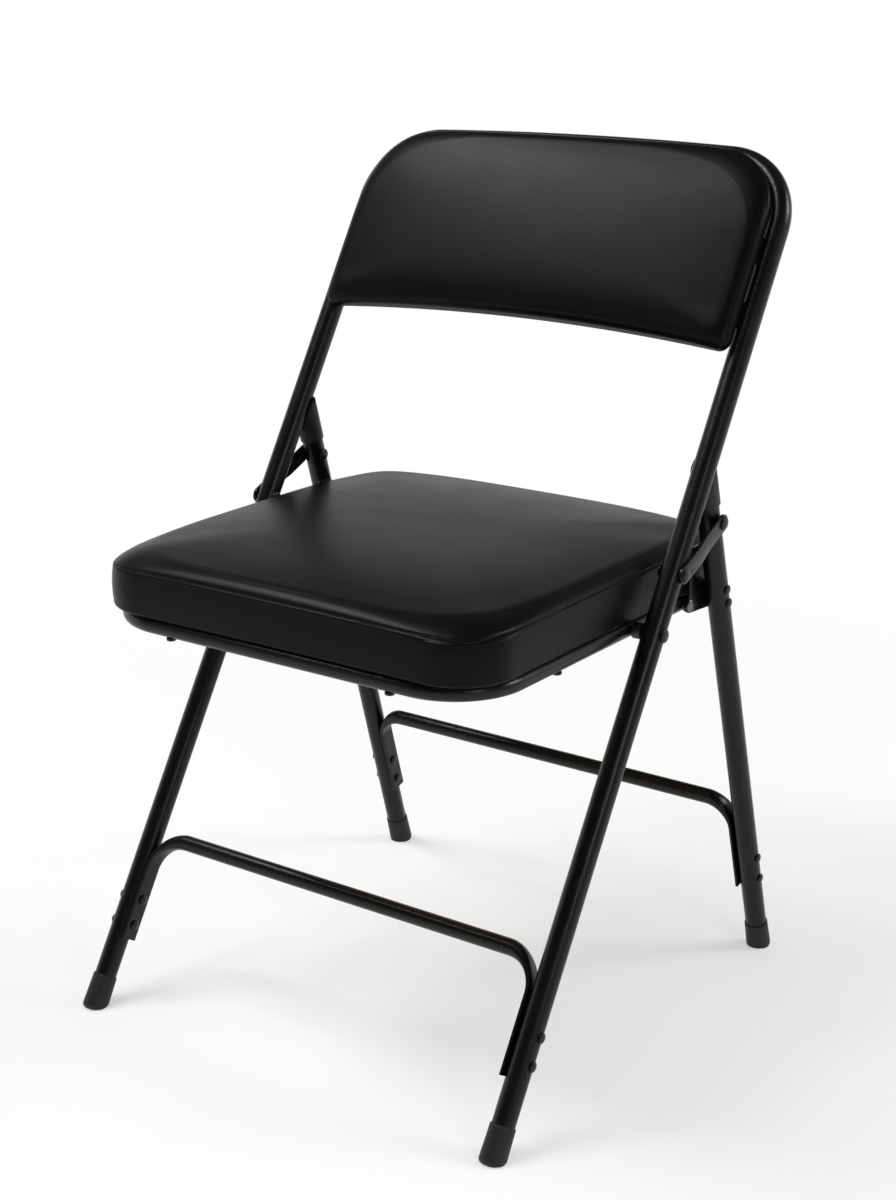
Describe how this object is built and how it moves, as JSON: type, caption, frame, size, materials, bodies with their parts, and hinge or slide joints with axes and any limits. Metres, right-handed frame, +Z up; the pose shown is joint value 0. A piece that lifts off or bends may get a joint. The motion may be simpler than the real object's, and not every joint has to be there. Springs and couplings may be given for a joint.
{
  "type": "padded folding chair",
  "caption": "Folding chair with a bent tube frame, rear legs that fold flat with the seat, and a padded seat and back.",
  "frame": {"origin": "on the floor, in the middle of the open chair's footprint", "axes": "+Z up, -Y the way a sitter faces, +X to the side"},
  "size_m": [0.4746, 0.489, 0.7665],
  "materials": {
    "black_enamel": "gloss black powder coat on steel tube",
    "black_vinyl": "satin black vinyl upholstery with a fine grain, also wrapped round the back board",
    "grey_plastic": "moulded dark grey plastic",
    "black_nylon": "moulded black nylon",
    "zinc_steel": "bright zinc plate on steel",
    "plywood": "raw plywood board"
  },
  "bodies": {
    "front_frame": {"front_frame_tube": "black_enamel", "front_brace": "black_enamel", "front_brace_rivet_left_1": "black_enamel", "front_brace_rivet_left_2": "black_enamel", "front_brace_rivet_right_1": "black_enamel", "front_brace_rivet_right_2": "black_enamel", "front_foot_left": "grey_plastic", "front_foot_right": "grey_plastic", "seat_pivot_rivet_left": "black_enamel", "seat_pivot_rivet_right": "black_enamel", "link_front_rivet_left": "black_enamel", "link_front_rivet_right": "black_enamel", "back_board": "black_vinyl", "back_cushion": "black_vinyl", "back_tab_left_lower": "black_enamel", "back_tab_left_upper": "black_enamel", "back_tab_right_lower": "black_enamel", "back_tab_right_upper": "black_enamel", "back_screw_left_lower": "zinc_steel", "back_screw_left_upper": "zinc_steel", "back_screw_right_lower": "zinc_steel", "back_screw_right_upper": "zinc_steel"},
    "seat": {"seat_ring": "black_enamel", "seat_board": "plywood", "seat_cushion": "black_vinyl", "seat_screw_front_left": "black_enamel", "seat_screw_front_right": "black_enamel", "seat_screw_side_left": "black_enamel", "seat_screw_side_right": "black_enamel", "seat_screw_rear_left": "black_enamel", "seat_screw_rear_right": "black_enamel", "hinge_rivet_left": "zinc_steel", "hinge_rivet_right": "zinc_steel", "hinge_washer_left": "black_nylon", "hinge_washer_right": "black_nylon", "seat_pivot_spacer_left": "black_nylon", "seat_pivot_spacer_right": "black_nylon"},
    "rear_legs": {"rear_leg_left": "black_enamel", "rear_leg_right": "black_enamel", "rear_leg_cap_left": "grey_plastic", "rear_leg_cap_right": "grey_plastic", "rear_foot_left": "grey_plastic", "rear_foot_right": "grey_plastic", "rear_brace": "black_enamel", "rear_brace_rivet_left_1": "black_enamel", "rear_brace_rivet_left_2": "black_enamel", "rear_brace_rivet_right_1": "black_enamel", "rear_brace_rivet_right_2": "black_enamel", "hinge_plate_left": "black_enamel", "hinge_plate_right": "black_enamel", "hinge_plate_rivet_left_1": "black_enamel", "hinge_plate_rivet_left_2": "black_enamel", "hinge_plate_rivet_right_1": "black_enamel", "hinge_plate_rivet_right_2": "black_enamel", "link_rear_rivet_tail_left": "black_enamel", "link_rear_rivet_tail_right": "black_enamel"},
    "left_link": {"link_left": "black_enamel", "link_rear_rivet_left": "black_enamel"},
    "right_link": {"link_right": "black_enamel", "link_rear_rivet_right": "black_enamel"}
  },
  "joints": [
    {"name": "seat_fold", "type": "hinge", "parent": "front_frame", "child": "seat", "pos_m": [0, 0.00116, 0.3828], "axis": [-1, 0, 0], "range_deg": [0, 126]},
    {"name": "rear_leg_fold", "type": "hinge", "parent": "seat", "child": "rear_legs", "pos_m": [0, 0.08816, 0.3828], "axis": [1, 0, 0], "range_deg": [0, 78]},
    {"name": "left_link_fold", "type": "hinge", "parent": "front_frame", "child": "left_link", "pos_m": [-0.2335, 0.02952, 0.429], "axis": [-1, 0, 0], "range_deg": [0, 126.5]},
    {"name": "right_link_fold", "type": "hinge", "parent": "front_frame", "child": "right_link", "pos_m": [0.2335, 0.02952, 0.429], "axis": [-1, 0, 0], "range_deg": [0, 126.5]}
  ],
  "couplings": [
    {"joint": "rear_leg_fold", "follows": "seat_fold", "ratio": 0.6188},
    {"joint": "left_link_fold", "follows": "seat_fold", "ratio": 1.0022},
    {"joint": "right_link_fold", "follows": "seat_fold", "ratio": 1.0022}
  ]
}
